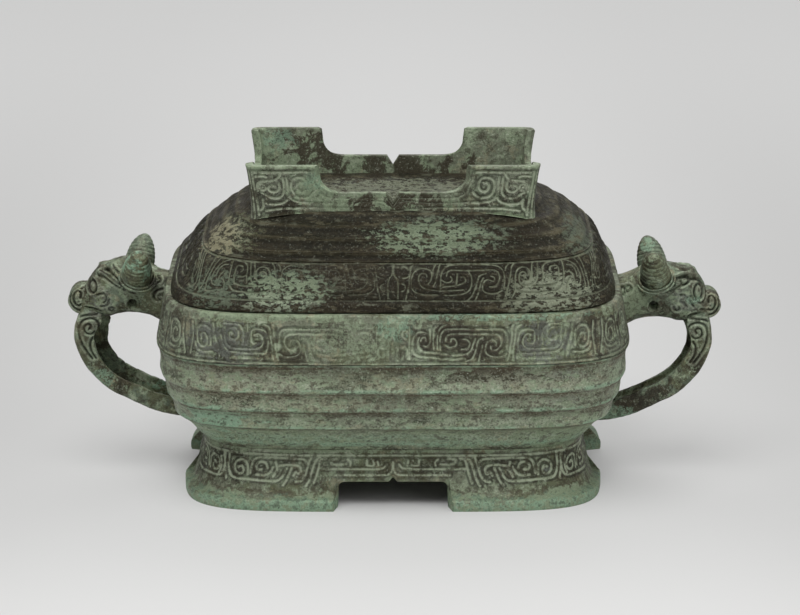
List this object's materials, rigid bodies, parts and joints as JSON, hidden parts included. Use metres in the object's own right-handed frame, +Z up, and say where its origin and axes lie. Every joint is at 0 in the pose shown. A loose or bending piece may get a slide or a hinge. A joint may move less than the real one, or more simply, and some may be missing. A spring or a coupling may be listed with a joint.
{
  "type": "covered food container",
  "caption": "Oblong bronze food vessel with a fluted bowl, arched foot ring, two loop handles with horned animal heads and a domed lift-off lid with a notched crown.",
  "frame": {"origin": "centre of the foot ring's underside, on the surface the vessel stands on", "axes": "+Z up, X along the length from handle to handle, -Y towards the viewer"},
  "size_m": [0.37, 0.193, 0.1871],
  "materials": {
    "bronze": "weathered cast bronze with dark brown and green patina",
    "dark_bronze": "weathered cast bronze, darker brown patina",
    "green_bronze": "weathered cast bronze with pale green patina"
  },
  "bodies": {
    "vessel": {"vessel_bowl": "bronze", "foot_ring": "green_bronze", "handle_loop_left": "bronze", "handle_loop_right": "bronze", "beast_head_left": "bronze", "beast_head_right": "bronze", "horn_front_left": "green_bronze", "horn_back_left": "green_bronze", "horn_front_right": "green_bronze", "horn_back_right": "green_bronze"},
    "lid": {"lid_shell": "dark_bronze", "lid_crown": "green_bronze"}
  },
  "joints": [
    {"name": "lid_lift", "type": "slide", "parent": "vessel", "child": "lid", "axis": [0, 0, 1], "range_m": [0, 0.15]}
  ]
}
